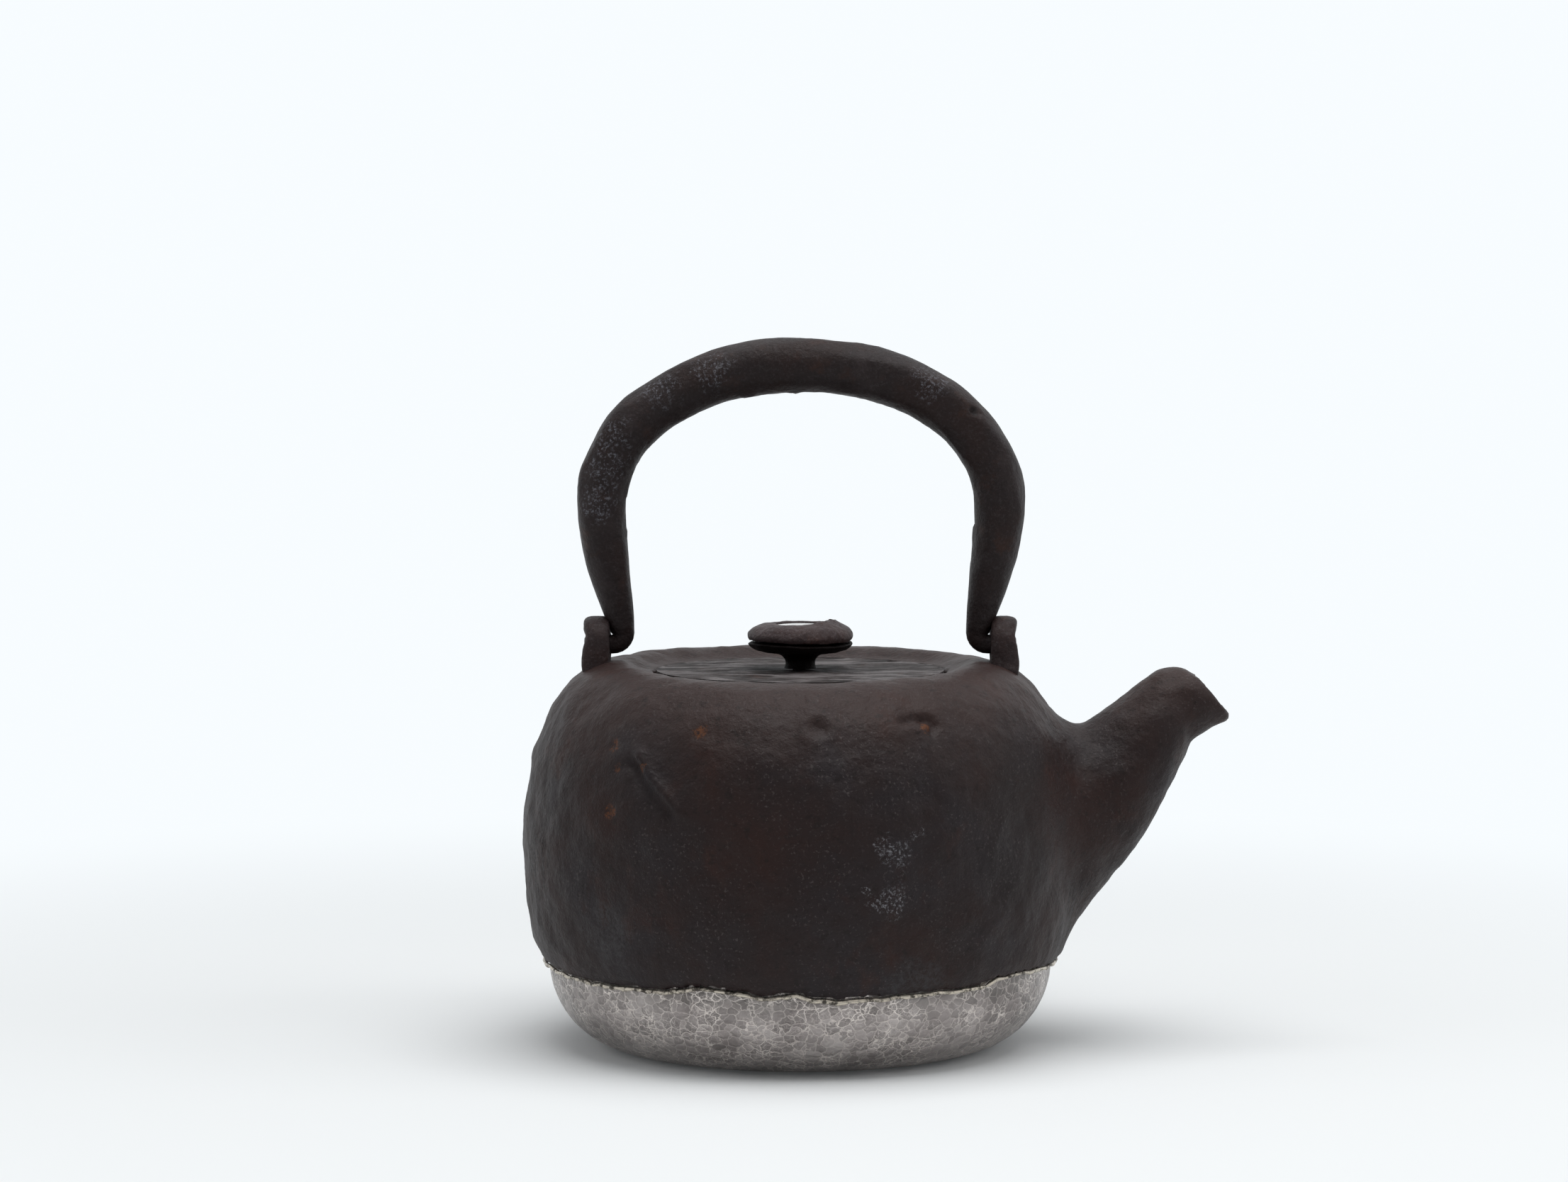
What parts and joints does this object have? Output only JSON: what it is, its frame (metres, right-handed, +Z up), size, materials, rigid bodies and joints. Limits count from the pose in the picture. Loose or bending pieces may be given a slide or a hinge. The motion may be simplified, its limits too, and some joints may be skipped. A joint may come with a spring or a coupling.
{
  "type": "tetsubin kettle",
  "caption": "Rounded cast iron kettle with a hammered silver bottom, broad spout, arched hollow bail on two ears, and a lift-off lid with a disc knob.",
  "frame": {"origin": "centre of the flat that the kettle rests on, on the body's axis", "axes": "+Z up along the body's axis, +X along the spout, Y across it; the bail stands in the XZ plane"},
  "size_m": [0.2014, 0.1576, 0.2004],
  "materials": {
    "cast_iron": "matte brown-black cast skin",
    "forged_iron": "matte forged skin",
    "lid_iron": "rough grained",
    "silver": "hammered, toned",
    "seal": "dull bead"
  },
  "bodies": {
    "kettle": {"iron_body": "cast_iron", "silver_bottom": "silver", "hem_seal": "seal", "front_ear": "forged_iron", "rear_ear": "forged_iron"},
    "handle": {"bail": "forged_iron"},
    "lid": {"lid_plate": "lid_iron", "lid_flange": "lid_iron", "knob_cup": "forged_iron", "knob_cap": "forged_iron", "knob_inlay": "silver", "knob_washer": "lid_iron", "knob_rivet": "forged_iron"}
  },
  "joints": [
    {"name": "bail_swing", "type": "hinge", "parent": "kettle", "child": "handle", "pos_m": [0, 0, 0.1135], "axis": [1, 0, 0], "range_deg": [-84, 84]},
    {"name": "lid_lift", "type": "slide", "parent": "kettle", "child": "lid", "axis": [0, 0, 1], "range_m": [0, 0.045]}
  ]
}
